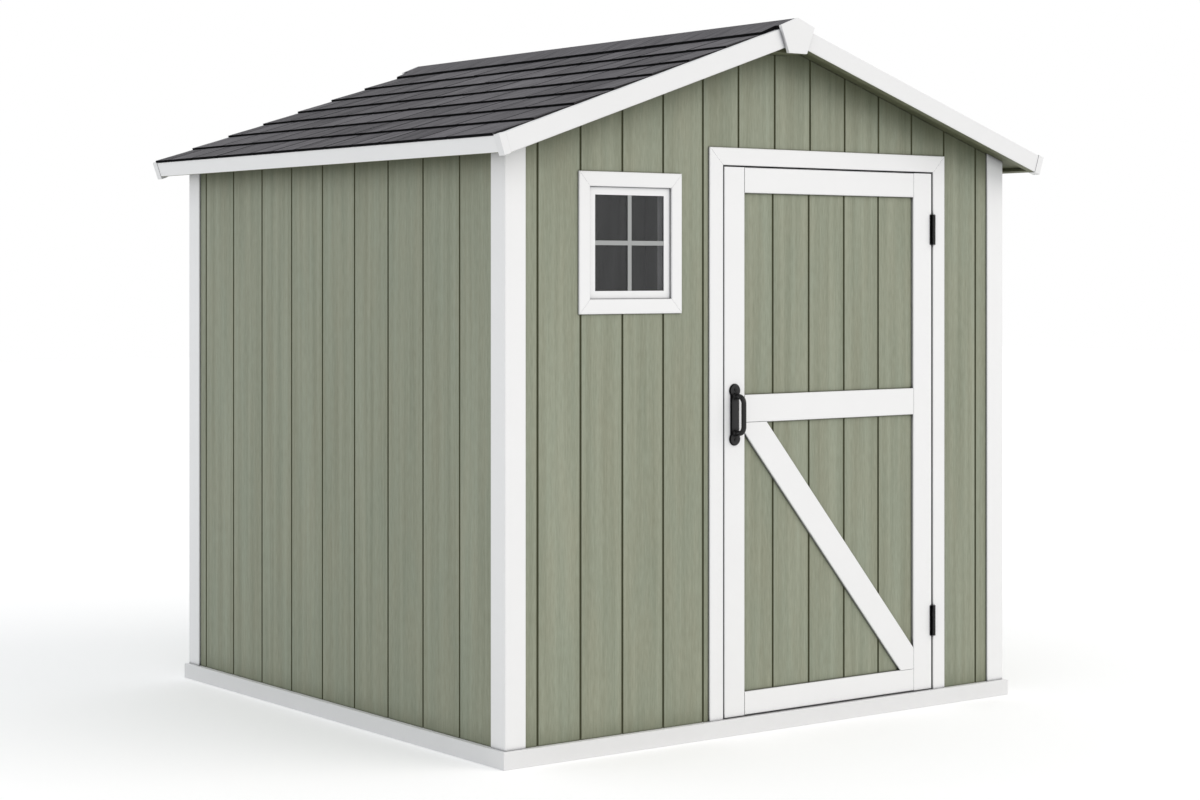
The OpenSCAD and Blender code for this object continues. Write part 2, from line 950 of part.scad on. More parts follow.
module hinges_door_side() {
  color(BLACK)
    for (z = hinge_list)
      difference() {
        union() {
          for (i = [1, 3]) {
            knuckle(i, z);
            knuckle_web(i, z, -1, leaf_y);
          }
          difference() {
            hinge_plate(z, -1, leaf_y);
            for (i = [0, 2, 4])
              knuckle_relief(i, z);
          }
        }
        translate([hinge_x, hinge_y, z - hinge_h/2 - over])
          cylinder(r=pin_d/2 + pin_fit, h=hinge_h + 2*over, $fn=48);
      }
}

// Outline of the handle's back plate, drawn in from its edge by a margin
module handle_outline(margin) {
  end_z = handle_plate_h/2 - handle_plate_w/2;
  for (s = [-1, 1])
    translate([0, s*end_z])
      circle(d=handle_plate_w - 2*margin, $fn=48);
  square([handle_waist_w - 2*margin, 2*end_z], center=true);
}

// Half of the grip, seen from its middle down: half the straight bar, one bend and one post
module half_grip() {
  post_z = grip_h/2 - grip_d/2;
  post_l = grip_out - grip_bend_r;
  translate([0, -grip_out, grip_bend_r - post_z])
    cylinder(d=grip_d, h=post_z - grip_bend_r, $fn=32);
  translate([0, -post_l, grip_bend_r - post_z])
    rotate([0, 90, 0])
    rotate([0, 0, -90])
    rotate_extrude(angle=90, $fn=64)
    translate([grip_bend_r, 0])
    circle(d=grip_d, $fn=32);
  translate([0, 0, -post_z])
    rotate([90, 0, 0])
    cylinder(d=grip_d, h=post_l, $fn=32);
  translate([0, 0, -post_z])
    rotate([90, 0, 0])
    cylinder(d1=grip_d + 2*grip_foot, d2=grip_d, h=2*grip_foot, $fn=32);
}

// Pull handle: a waisted plate with a raised field, and a bent bar on two posts
handle_x = leaf_l + handle_in;
module door_handle() {
  color(BLACK)
    translate([handle_x, leaf_y, handle_z]) {
      upright(-handle_plate_t, 0)
        handle_outline(handle_step);
      upright(-handle_plate_t/2, 0)
        handle_outline(0);
      for (s = [0, 1])
        mirror([0, 0, s])
        translate([0, -handle_plate_t, 0])
        half_grip();
    }
}

floor_panel();
base_front();
base_back();
base_left();
base_right();
front_wall_left();
front_wall_right();
front_wall_head();
back_wall();
left_wall();
right_wall();
corner_front_left();
corner_front_right();
corner_back_left();
corner_back_right();
roof_panel_left();
roof_panel_right();
shingles_left();
shingles_right();
ridge_cap();
ridge_beam();
fascia_left();
fascia_right();
barge_front_left();
barge_front_right();
barge_back_left();
barge_back_right();
gable_cap_front();
gable_cap_back();
window_casing();
window_sash();
window_glass();
door_casing_left();
door_casing_right();
door_casing_head();
door_infill();
door_stile_left();
door_stile_right();
door_top_rail();
door_bottom_rail();
door_lock_rail();
door_brace();
hinges_frame_side();
hinges_door_side();
door_handle();
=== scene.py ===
# %% [markdown]
# A resin garden shed, dressed around its engineering model. The walls, trims, roof and door come
# from that model as a fixed frame. This lesson gives them their finishes, and models what is too
# fine for it: shingle tabs, glazing bars and screw heads.

# %% Load the frame
import json
import math
import random

import bpy
from mathutils import Matrix, Vector


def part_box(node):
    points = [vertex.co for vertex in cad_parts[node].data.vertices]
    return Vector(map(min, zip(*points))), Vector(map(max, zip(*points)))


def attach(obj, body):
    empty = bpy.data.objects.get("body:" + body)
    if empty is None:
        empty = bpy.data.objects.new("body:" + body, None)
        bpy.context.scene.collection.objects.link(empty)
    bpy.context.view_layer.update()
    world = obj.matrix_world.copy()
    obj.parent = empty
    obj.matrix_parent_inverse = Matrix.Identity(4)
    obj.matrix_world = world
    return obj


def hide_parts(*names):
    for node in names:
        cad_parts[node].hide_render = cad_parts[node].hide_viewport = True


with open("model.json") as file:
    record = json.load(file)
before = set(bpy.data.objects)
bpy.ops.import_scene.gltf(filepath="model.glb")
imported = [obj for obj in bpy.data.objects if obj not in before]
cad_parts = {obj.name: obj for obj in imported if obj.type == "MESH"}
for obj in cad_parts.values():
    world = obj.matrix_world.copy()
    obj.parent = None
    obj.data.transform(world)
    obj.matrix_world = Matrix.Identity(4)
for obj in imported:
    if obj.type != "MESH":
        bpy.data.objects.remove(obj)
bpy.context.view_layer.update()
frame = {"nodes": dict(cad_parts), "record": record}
nodes = frame["nodes"]
MM = 0.001
SHELL = "shell"
LEAF = "door_leaf"

# %% [markdown]
# The view is a level camera at about the height of a chin, to the left of the shed, with a lens a
# little longer than normal. A level camera keeps upright edges parallel, and a small shift slides the
# frame down to hold the whole shed, as the rising front of a view camera does.

# %% Camera
CAMERA_PLACE = (-4.9975, -6.7233, 1.4448)
CAMERA_TURN = -36.92
CAMERA_LENS = 71.69
CAMERA_SLIDE = -0.1053
camera_data = bpy.data.cameras.new("shed_view")
camera_data.lens = CAMERA_LENS
camera_data.sensor_width = 36
camera_data.shift_y = CAMERA_SLIDE
camera = bpy.data.objects.new("shed_view", camera_data)
bpy.context.collection.objects.link(camera)
camera.location = CAMERA_PLACE
camera.rotation_euler = (math.radians(90), 0, math.radians(CAMERA_TURN))
bpy.context.scene.camera = camera
bpy.context.scene.view_settings.view_transform = "Standard"
print("camera lens", camera_data.lens, "mm, turned", CAMERA_TURN, "degrees")

# %% [markdown]
# Colours are written as the hex values that a paint chart gives, and the renderer wants linear light,
# so one function turns the first into the second. A second one adds a shader node with its settings
# and links, which keeps each finish below readable from top to bottom. A Mix node's colour sockets
# share their names with its number sockets, so they are reached by index, and the indexes have names
# here. Every part of the shed is a plastic or wears a plastic coat, so each finish starts from the
# refractive index of resin.

# %% Colour and node helpers
RESIN_IOR = 1.49
FACTOR, COLOUR_A, COLOUR_B, MIXED = 0, 6, 7, 2


def linear(hex_colour, alpha=1.0):
    """The linear RGBA of an sRGB hex colour."""
    channels = [int(hex_colour[i:i + 2], 16) / 255 for i in (1, 3, 5)]
    straight = [c / 12.92 if c <= 0.04045 else ((c + 0.055) / 1.055) ** 2.4 for c in channels]
    return (*straight, alpha)


def add_node(material, kind, settings=None, links=None):
    """Adds one node. Settings are its properties or input values, and links feed its inputs."""
    tree = material.node_tree
    new = tree.nodes.new(kind)
    for key, value in (settings or {}).items():
        if isinstance(key, int) or key in new.inputs:
            new.inputs[key].default_value = value
        else:
            setattr(new, key, value)
    for key, source in (links or {}).items():
        tree.links.new(source, new.inputs[key])
    return new


def new_finish(name, colour, roughness):
    """A material for one real finish, and its shader."""
    material = bpy.data.materials.new(name)
    material.use_nodes = True
    shader = material.node_tree.nodes["Principled BSDF"]
    shader.inputs["Base Color"].default_value = linear(colour)
    shader.inputs["Roughness"].default_value = roughness
    shader.inputs["IOR"].default_value = RESIN_IOR
    return material, shader


print("white is", linear("#ffffff"), "and mid grey is", round(linear("#808080")[0], 3))

# %% [markdown]
# The studio is one pale floor under an even white sky, with one broad soft lamp from the front right.
# The sky could simply be turned up until it looks white, but then it would wash out the shed. Instead
# it is set lower for the light it gives than for how it looks: a camera, a shiny surface or clear
# glass sees it as plain white, and the shed is lit at a level where colours come out as written. Its
# light is a trace bluer than the lamp's, as it is outdoors, so faces in shade read a little cooler.

# %% World
SKY_LIGHT = 0.80
SKY_TINT = "#fbfdff"
world = bpy.data.worlds.new("studio_sky")
bpy.context.scene.world = world
world.use_nodes = True
world.node_tree.nodes.clear()
paths = add_node(world, "ShaderNodeLightPath")
seen = add_node(world, "ShaderNodeMath", {"operation": "MAXIMUM"},
                {0: paths.outputs["Is Camera Ray"], 1: paths.outputs["Is Glossy Ray"]})
seen_through = add_node(world, "ShaderNodeMath", {"operation": "MAXIMUM"},
                        {0: seen.outputs[0], 1: paths.outputs["Is Transmission Ray"]})
strength = add_node(world, "ShaderNodeMapRange", {"To Min": SKY_LIGHT, "To Max": 1.0},
                    {"Value": seen_through.outputs[0]})
tint = add_node(world, "ShaderNodeMix",
                {"data_type": "RGBA", COLOUR_A: linear(SKY_TINT), COLOUR_B: linear("#ffffff")},
                {FACTOR: seen_through.outputs[0]})
sky = add_node(world, "ShaderNodeBackground",
               links={"Color": tint.outputs[MIXED], "Strength": strength.outputs["Result"]})
add_node(world, "ShaderNodeOutputWorld", links={"Surface": sky.outputs[0]})
print("sky gives", SKY_LIGHT, "of white")

# %% [markdown]
# The lamp stands for a large soft box. An area lamp would fade across the shed, so a sun is used, and
# its wide angle gives the soft edges. It comes from the front right, so the door side reads a step
# lighter than the left wall.

# %% Lamp
LAMP_POWER = 0.83
LAMP_TINT = "#fff7ef"
LAMP_FROM = Vector((0.62, -0.78, 0.62))
LAMP_SPREAD = 50
lamp_data = bpy.data.lights.new("soft_lamp", "SUN")
lamp_data.energy = LAMP_POWER
lamp_data.color = linear(LAMP_TINT)[:3]
lamp_data.angle = math.radians(LAMP_SPREAD)
lamp = bpy.data.objects.new("soft_lamp", lamp_data)
bpy.context.collection.objects.link(lamp)
lamp.rotation_euler = LAMP_FROM.to_track_quat("Z", "Y").to_euler()
print("lamp", LAMP_POWER, "from", [round(v, 2) for v in LAMP_FROM.normalized()])

# %% [markdown]
# The floor is one matt painted sheet, wide enough that its edge never shows. A little glow that only
# the camera and shiny surfaces see brings its open part up to white, and the shed's shadow stays.

# %% Floor
FLOOR_HALF = 30
FLOOR_DROP = 0.5 * MM
FLOOR_GLOW = 0.26
floor_finish, floor_shader = new_finish("studio_floor_paint", "#f2f2f2", 0.9)
floor_shader.inputs["Specular IOR Level"].default_value = 0
floor_paths = add_node(floor_finish, "ShaderNodeLightPath")
floor_seen = add_node(floor_finish, "ShaderNodeMath", {"operation": "MAXIMUM"},
                      {0: floor_paths.outputs["Is Camera Ray"], 1: floor_paths.outputs["Is Glossy Ray"]})
floor_glow = add_node(floor_finish, "ShaderNodeMath", {"operation": "MULTIPLY", 1: FLOOR_GLOW},
                      {0: floor_seen.outputs[0]})
floor_shader.inputs["Emission Color"].default_value = linear("#ffffff")
floor_finish.node_tree.links.new(floor_glow.outputs[0], floor_shader.inputs["Emission Strength"])
bpy.ops.object.select_all(action="DESELECT")
bpy.ops.mesh.primitive_plane_add(size=2 * FLOOR_HALF, location=(0, 0, -FLOOR_DROP))
floor = bpy.context.object
floor.name = "studio_floor"
floor.data.materials.append(floor_finish)
print("floor", 2 * FLOOR_HALF, "m square")

# %% [markdown]
# Under the eaves and in the joints less light arrives, so most finishes of the shed get painted shade,
# which deepens their colour where other faces close in. The shade could be painted at spots where it is
# expected, but a shade that measures how open each place is stays right when the shed changes size. It
# sends out a few short rays, and where many are stopped the colour is multiplied by a shade.

# %% Painted shade in closed-in places
SHADE_RAYS = 8


def shade_in(material, colour, reach, *steps):
    """Paints shade into a colour where other faces within reach close in on it. Each step is a painted
    shade, how open the place is where the shade is full, and how open it is where the shade is gone."""
    nook = add_node(material, "ShaderNodeAmbientOcclusion", {"samples": SHADE_RAYS, "Distance": reach})
    for shade, closed, opened in steps:
        freed = add_node(material, "ShaderNodeMapRange", {"From Min": closed, "From Max": opened},
                         {"Value": nook.outputs["AO"]})
        tone = add_node(material, "ShaderNodeMix",
                        {"data_type": "RGBA", COLOUR_A: linear(shade), COLOUR_B: linear("#ffffff")},
                        {FACTOR: freed.outputs["Result"]})
        shaded = add_node(material, "ShaderNodeMix",
                          {"data_type": "RGBA", "blend_type": "MULTIPLY", FACTOR: 1.0},
                          {COLOUR_A: colour, COLOUR_B: tone.outputs[MIXED]})
        colour = shaded.outputs[MIXED]
    return colour


print("shade from", SHADE_RAYS, "rays")

# %% [markdown]
# Resin siding is moulded against a tool with a wood grain in it, which leaves upright marks of three
# sizes: long streaks from floor to eave, short fine flecks over them, and wide bands. A picture of
# wood would show seams where walls meet. Noise squeezed across the board and stretched up it, read
# from each piece's own coordinates, has none, and one function makes all three sizes.


# %% Upright grain
def grain_noise(material, across, upright, width, length, detail):
    """Noise in streaks of one width and length, upright on a wall."""
    wide = add_node(material, "ShaderNodeMath", {"operation": "DIVIDE", 1: width}, {0: across})
    tall = add_node(material, "ShaderNodeMath", {"operation": "DIVIDE", 1: length}, {0: upright})
    place = add_node(material, "ShaderNodeCombineXYZ",
                     links={"X": wide.outputs[0], "Z": tall.outputs[0]})
    noise = add_node(material, "ShaderNodeTexNoise", {"Scale": 1.0, "Detail": detail, "Roughness": 0.6},
                     {"Vector": place.outputs[0]})
    return noise.outputs["Fac"]


print("grain runs upright")

# %% [markdown]
# The walls and the door infill are sage resin. The streaks run from a darker to a lighter sage, the
# bands lean warm or cool, and the flecks also give a faint relief. On the front and back walls X runs
# across the grain, and on the side walls Y does. Each is constant on the other pair, so their sum runs
# across the grain everywhere. Shade is painted into the colour under the eaves and in the joints. The
# roof's underside is the same moulding in olive.

# %% Sage wood-grained resin
STREAK_W = 32 * MM
STREAK_L = 1500 * MM
FLECK_W = 5 * MM
FLECK_L = 45 * MM
BAND_W = 80 * MM
BAND_L = 420 * MM
STREAK_SHARE = 1.3
GRAIN_DEPTH = 0.6 * MM
JOINT_REACH = 9 * MM
SHELTER_REACH = 180 * MM


def sage_resin(name, dark, light, warm, cool, shelter, joint):
    """Wood-grained resin: streaks from dark to light, tinted in wide bands, with painted shade under the
    eaves and in its joints.
    """
    material, shader = new_finish(name, light, 0.62)
    place = add_node(material, "ShaderNodeTexCoord")
    axes = add_node(material, "ShaderNodeSeparateXYZ", links={"Vector": place.outputs["Object"]})
    across = add_node(material, "ShaderNodeMath", {"operation": "ADD"},
                      {0: axes.outputs["X"], 1: axes.outputs["Y"]})
    streaks = grain_noise(material, across.outputs[0], axes.outputs["Z"], STREAK_W, STREAK_L, 2.0)
    flecks = grain_noise(material, across.outputs[0], axes.outputs["Z"], FLECK_W, FLECK_L, 3.0)
    bands = grain_noise(material, across.outputs[0], axes.outputs["Z"], BAND_W, BAND_L, 3.0)
    grain = add_node(material, "ShaderNodeMath", {"operation": "MULTIPLY_ADD", 1: STREAK_SHARE},
                     {0: streaks, 2: flecks})
    streak_mix = add_node(material, "ShaderNodeMapRange", {"From Min": 0.60, "From Max": 1.70},
                          {"Value": grain.outputs[0]})
    streaked = add_node(material, "ShaderNodeMix",
                        {"data_type": "RGBA", COLOUR_A: linear(dark), COLOUR_B: linear(light)},
                        {FACTOR: streak_mix.outputs["Result"]})
    band_mix = add_node(material, "ShaderNodeMapRange", {"From Min": 0.35, "From Max": 0.65},
                        {"Value": bands})
    tint = add_node(material, "ShaderNodeMix",
                    {"data_type": "RGBA", COLOUR_A: linear(warm), COLOUR_B: linear(cool)},
                    {FACTOR: band_mix.outputs["Result"]})
    banded = add_node(material, "ShaderNodeMix",
                      {"data_type": "RGBA", "blend_type": "MULTIPLY", FACTOR: 1.0},
                      {COLOUR_A: streaked.outputs[MIXED], COLOUR_B: tint.outputs[MIXED]})
    # Painted shade: first under the eaves (shelter), then in the joints.
    sheltered = shade_in(material, banded.outputs[MIXED], SHELTER_REACH, (shelter, 0.5, 0.89))
    final = shade_in(material, sheltered, JOINT_REACH, (joint, 0.40, 0.75))
    bump = add_node(material, "ShaderNodeBump", {"Strength": 0.35, "Distance": GRAIN_DEPTH},
                    {"Height": flecks})
    material.node_tree.links.new(final, shader.inputs["Base Color"])
    material.node_tree.links.new(bump.outputs[0], shader.inputs["Normal"])
    return material


# The last two colours of each are painted shade, under the eaves and in the joints.
sage = sage_resin("sage_resin_moulded_grain", "#7e816d", "#a5a997", "#fefdf9", "#f8fcfa",
                  "#bec0b3", "#3c3e2e")
soffit = sage_resin("olive_resin_moulded_grain", "#5c5e47", "#85876f", "#fefdf9", "#f8fcfa",
                    "#bcbeb0", "#3c3e2e")
print("widths in mm: streaks", STREAK_W / MM, "flecks", FLECK_W / MM, "bands", BAND_W / MM)

# %% [markdown]
# Plain coloured resin is never quite one tone: it has faint flow marks where the melt met the tool
# and cooled at different rates. One flat colour would look like paper, so a wide soft noise mixes two
# close tones.

# %% Flow marks
FLOW_MARK = 120 * MM


def flow_marked(name, colour, flow_colour, roughness):
    """Moulded resin with barely visible flow marks. Returns its material, shader and colour."""
    material, shader = new_finish(name, colour, roughness)
    place = add_node(material, "ShaderNodeTexCoord")
    flow = add_node(material, "ShaderNodeTexNoise", {"Scale": 1 / FLOW_MARK, "Detail": 2.0},
                    {"Vector": place.outputs["Object"]})
    tone = add_node(material, "ShaderNodeMix",
                    {"data_type": "RGBA", COLOUR_A: linear(colour), COLOUR_B: linear(flow_colour)},
                    {FACTOR: flow.outputs["Fac"]})
    material.node_tree.links.new(tone.outputs[MIXED], shader.inputs["Base Color"])
    return material, shader, tone.outputs[MIXED]


print("flow marks", FLOW_MARK / MM, "mm wide")

# %% [markdown]
# The trims, casings and the door's frame are white resin with a satin skin from a polished tool. White
# plastic is never paper white. Painted shade deepens it under the eaves, its thin outer edges get
# painted shade where they stand by the boards, and the gaps around the door are painted nearly black, in
# two more steps of painted shade. The window and the roof's boards each get their own depth of painted
# shade, the skirt gets none, and the grey floor panel is the same resin in another colour.

# %% White satin resin
GAP_REACH = 20 * MM
EAVE_REACH = 55 * MM
SATIN = 0.42


def satin_resin(name, colour, flow_colour, gap, edge):
    """Flow-marked resin with a satin skin, with painted shade under the eaves, in its gaps and at its
    edges.
    """
    material, shader, tone = flow_marked(name, colour, flow_colour, SATIN)
    # Painted shade under the eaves, then painted shade in the gaps (gap) and at the edges (edge).
    sheltered = shade_in(material, tone, EAVE_REACH, ("#cfcfd2", 0.5, 0.9))
    final = shade_in(material, sheltered, GAP_REACH, (gap, 0.12, 0.45), (edge, 0.5, 0.8))
    material.node_tree.links.new(final, shader.inputs["Base Color"])
    return material


# The last two colours of each are the painted shade in its gaps and at its edges.
white = satin_resin("white_resin_satin", "#f8f8f8", "#f5f5f5", "#0c0c0c", "#a0a0a0")
window_white = satin_resin("white_resin_window", "#f8f8f8", "#f5f5f5", "#d4d4d4", "#eeeeee")
roof_white = satin_resin("white_resin_roof_trim", "#f2f2f2", "#efefef", "#606060", "#c0c0c0")
floor_grey = satin_resin("grey_resin_floor", "#8b8d88", "#83857f", "#606060", "#c0c0c0")
skirt_white, _, _ = flow_marked("white_resin_skirt", "#eeeeee", "#eaeaea", 0.5)
print("white resins:", ", ".join(m.name for m in (white, window_white, roof_white, skirt_white)))

# %% [markdown]
# The roof is charcoal resin moulded as shingles: a stony skin with fine streaks that run down the slope,
# a slightly different tone on each tab, and lower edges that look almost black, because they face down
# and hold the shade. That shade is painted: the lower edges take a near-black finish without gloss, and
# the course just below each one is darkened by painted shade. Each tab carries its tone as a number in
# its mesh, since no pattern in space could follow tabs of uneven width. Outdoor resin shingles are dead
# matt, so their gloss is nearly off.

# %% Charcoal shingle resin
SHINGLE_STREAK_W = 12 * MM
SHINGLE_STREAK_L = 280 * MM
GRIT = 3 * MM
GRIT_DEPTH = 0.8 * MM
GRIT_SHARE = 0.25
TAB_SHARE = 0.07
LAP_REACH = 25 * MM


def shingle_resin(name, dark, light):
    """Streaked charcoal resin, whose tone on each tab comes from the mesh's own attribute, with painted
    shade below the lower edge of each course.
    """
    material, shader = new_finish(name, light, 0.8)
    shader.inputs["Specular IOR Level"].default_value = 0.1
    place = add_node(material, "ShaderNodeTexCoord")
    stretch = add_node(material, "ShaderNodeMapping",
                       {"Scale": (1 / SHINGLE_STREAK_L, 1 / SHINGLE_STREAK_W, 1 / SHINGLE_STREAK_L)},
                       {"Vector": place.outputs["Object"]})
    streaks = add_node(material, "ShaderNodeTexNoise", {"Scale": 1.0, "Detail": 5.0, "Roughness": 0.65},
                       {"Vector": stretch.outputs[0]})
    grit = add_node(material, "ShaderNodeTexNoise", {"Scale": 1 / GRIT, "Detail": 2.0},
                    {"Vector": place.outputs["Object"]})
    tab = add_node(material, "ShaderNodeAttribute", {"attribute_name": "tab_tone"})
    drift = add_node(material, "ShaderNodeMath", {"operation": "MULTIPLY_ADD", 1: TAB_SHARE},
                     {0: tab.outputs["Fac"], 2: streaks.outputs["Fac"]})
    speck = add_node(material, "ShaderNodeMath", {"operation": "MULTIPLY_ADD", 1: GRIT_SHARE},
                     {0: grit.outputs["Fac"], 2: drift.outputs[0]})
    level = add_node(material, "ShaderNodeMapRange", {"From Min": 0.42, "From Max": 0.90},
                     {"Value": speck.outputs[0]})
    tone = add_node(material, "ShaderNodeMix",
                    {"data_type": "RGBA", COLOUR_A: linear(dark), COLOUR_B: linear(light)},
                    {FACTOR: level.outputs["Result"]})
    bump = add_node(material, "ShaderNodeBump", {"Strength": 0.5, "Distance": GRIT_DEPTH},
                    {"Height": speck.outputs[0]})
    # Painted shade on the course just below each lower edge.
    final = shade_in(material, tone.outputs[MIXED], LAP_REACH, ("#141414", 0.50, 0.86))
    material.node_tree.links.new(final, shader.inputs["Base Color"])
    material.node_tree.links.new(bump.outputs[0], shader.inputs["Normal"])
    return material


shingle = shingle_resin("charcoal_resin_shingle", "#373639", "#817f83")
# The near-black painted-shade finish for faces that look down the slope or sideways; with its gloss off
# it reads black.
shingle_painted_shade, edge_shader, _ = flow_marked("charcoal_resin_painted_shade", "#1c1c1d", "#181819", 0.9)
edge_shader.inputs["Specular IOR Level"].default_value = 0
print("shingle streaks", SHINGLE_STREAK_W / MM, "mm wide")

# %% [markdown]
# The window is one tinted acrylic sheet, with faint upright streaks of painted reflection in its tint.
# True glass bends every ray and takes long to render clean. A thin flat sheet hardly bends light, so it
# is a part clear surface with a hard gloss, which lets daylight fall on the wall's edge behind. The
# glazing bars on it are a plain grey resin.

# %% Tinted acrylic sheet
REFLECTION_STREAK_W = 24 * MM
REFLECTION_STREAK_L = 500 * MM
acrylic, acrylic_shader = new_finish("tinted_acrylic_sheet", "#535455", 0.04)
acrylic_shader.inputs["Alpha"].default_value = 0.32
acrylic_place = add_node(acrylic, "ShaderNodeTexCoord")
acrylic_stretch = add_node(acrylic, "ShaderNodeMapping", {"Scale": (1 / REFLECTION_STREAK_W, 1 / REFLECTION_STREAK_W, 1 / REFLECTION_STREAK_L)},
                           {"Vector": acrylic_place.outputs["Object"]})
# Painted reflection: faint upright streaks, lighter than the tint.
painted_reflection_streaks = add_node(acrylic, "ShaderNodeTexNoise", {"Scale": 1.0, "Detail": 2.0},
                      {"Vector": acrylic_stretch.outputs[0]})
acrylic_tone = add_node(acrylic, "ShaderNodeMix",
                        {"data_type": "RGBA", COLOUR_A: linear("#434445"), COLOUR_B: linear("#636465")},
                        {FACTOR: painted_reflection_streaks.outputs["Fac"]})
acrylic.node_tree.links.new(acrylic_tone.outputs[MIXED], acrylic_shader.inputs["Base Color"])
bar_grey, _, _ = flow_marked("grey_resin_glazing_bar", "#a6a8a7", "#a2a4a3", SATIN)
print("acrylic alpha", round(acrylic_shader.inputs["Alpha"].default_value, 2))

# %% [markdown]
# The hinges and the handle are steel with a black powder coat. Baked powder flows into a fine even
# orange peel, which a small bump gives. Where the plate and the grip close in on each other, shade is
# painted in: the colour darkens and the gloss is turned down, both following how open each place is.

# %% Black powder coat
CONTACT_REACH = 12 * MM
PEEL_W = 1.2 * MM
PEEL_DEPTH = 0.1 * MM
POWDER = "#0f0f10"
powder_black, powder_shader = new_finish("black_powder_coat", POWDER, 0.36)
powder_place = add_node(powder_black, "ShaderNodeTexCoord")
orange_peel = add_node(powder_black, "ShaderNodeTexNoise", {"Scale": 1 / PEEL_W, "Detail": 1.0},
                       {"Vector": powder_place.outputs["Object"]})
peel_bump = add_node(powder_black, "ShaderNodeBump", {"Strength": 0.2, "Distance": PEEL_DEPTH},
                     {"Height": orange_peel.outputs["Fac"]})
powder_black.node_tree.links.new(peel_bump.outputs[0], powder_shader.inputs["Normal"])
powder_tone = add_node(powder_black, "ShaderNodeRGB")
powder_tone.outputs[0].default_value = linear(POWDER)
# Painted shade in the colour where the plate and the grip close in.
powder_shaded = shade_in(powder_black, powder_tone.outputs[0], CONTACT_REACH, ("#303030", 0.3, 0.95))
powder_black.node_tree.links.new(powder_shaded, powder_shader.inputs["Base Color"])
# Painted shade on the gloss: it is turned down where the place is closed in.
nook = add_node(powder_black, "ShaderNodeAmbientOcclusion",
                {"samples": SHADE_RAYS, "Distance": CONTACT_REACH})
sheen_dimmed_in_shade = add_node(powder_black, "ShaderNodeMapRange", {"From Min": 0.4, "From Max": 1.0, "To Max": 0.4},
                 {"Value": nook.outputs["AO"]})
powder_black.node_tree.links.new(sheen_dimmed_in_shade.outputs["Result"], powder_shader.inputs["Specular IOR Level"])
print("orange peel", PEEL_W / MM, "mm wide")

# %% [markdown]
# The frame's nodes name a material slot each, and most take the finish of their slot. A few differ from
# the rest of their slot: the olive undersides of the roof, which are olive on the real shed, and the
# white boards that get less painted shade in their gaps than the door's, or none, as the skirt. Those
# are listed by name.

# %% Finishes on the frame
slot_of = {part["node"]: part["material_slot"] for part in frame["record"]["subparts"]}
finish_of = {"wall": sage, "trim": white, "roof": shingle, "floor": floor_grey, "glass": acrylic,
             "hardware": powder_black}
own_finish = {"roof_panel_": soffit, "ridge_beam": soffit, "base_": skirt_white,
              "window_casing": window_white, "window_sash": window_white,
              "gable_cap_": roof_white, "barge_": roof_white}
for name, node in nodes.items():
    named = [finish for start, finish in own_finish.items() if name.startswith(start)]
    finish = named[0] if named else finish_of[slot_of[name]]
    node.data.materials.clear()
    node.data.materials.append(finish)
print("finished", len(nodes), "nodes")

# %% [markdown]
# Every new piece below starts as a primitive at its place and is shaped in edit mode. An operator acts
# on all that is selected, so one helper clears the selection and selects what comes next, and another
# starts a piece as a cube stretched to its size.


# %% Select a piece, start a block
def only(*pieces):
    """Selects these pieces and nothing else, the first one active."""
    bpy.ops.object.select_all(action="DESELECT")
    for piece in pieces:
        piece.select_set(True)
    bpy.context.view_layer.objects.active = pieces[0]


def block(name, low, high):
    """A cube stretched between two corners, its place in its mesh."""
    middle = [(a + b) / 2 for a, b in zip(low, high)]
    size = [b - a for a, b in zip(low, high)]
    bpy.ops.object.select_all(action="DESELECT")
    bpy.ops.mesh.primitive_cube_add(size=1, location=middle, scale=size)
    piece = bpy.context.object
    piece.name = name
    bpy.ops.object.transform_apply(location=True, rotation=True, scale=True)
    return piece


print("blocks ready")

# %% [markdown]
# In a window, faces and edges are clicked. In a script they are picked by a test on where they lie:
# a face by its middle and its normal, an edge by its two ends. Both helpers stay in edit mode, with
# only what passed selected, ready for the next operator, and a third comes back out of it.


# %% Pick faces and edges
def pick_faces(piece, test):
    """Goes into edit mode with only the faces selected whose middle and normal pass the test."""
    only(piece)
    bpy.ops.object.mode_set(mode="EDIT")
    bpy.ops.mesh.select_mode(type="FACE")
    bpy.ops.mesh.select_all(action="DESELECT")
    bpy.ops.object.mode_set(mode="OBJECT")
    for face in piece.data.polygons:
        face.select = test(face.center, face.normal)
    bpy.ops.object.mode_set(mode="EDIT")


def pick_edges(piece, test):
    """Goes into edit mode with only the edges selected whose two ends pass the test."""
    only(piece)
    bpy.ops.object.mode_set(mode="EDIT")
    bpy.ops.mesh.select_mode(type="EDGE")
    bpy.ops.mesh.select_all(action="DESELECT")
    bpy.ops.object.mode_set(mode="OBJECT")
    corners = piece.data.vertices
    for edge in piece.data.edges:
        edge.select = test(corners[edge.vertices[0]].co, corners[edge.vertices[1]].co)
    bpy.ops.object.mode_set(mode="EDIT")


def leave_edit():
    """Back from edit mode, which writes the edited shape to the mesh."""
    bpy.ops.object.mode_set(mode="OBJECT")


print("face and edge picking ready")

# %% [markdown]
# The roof's slope, length and courses are read from the frame, so the tabs fit whatever size the shed
# is built at. The panel's largest upward face gives the angle, and the boxes of the shingle sheet and
# the ridge cap give where the courses end and start. Only the number of courses, the thickness of a
# shingle, its seat and its drip past the eave are the builder's own figures for the frame.


# %% Roof measures
def upward_normal(name):
    """Normal of the largest upward face of a node."""
    mesh = nodes[name].data
    faces = [f for f in mesh.polygons if f.normal.z > 0.5]
    return max(faces, key=lambda f: f.area).normal.copy()


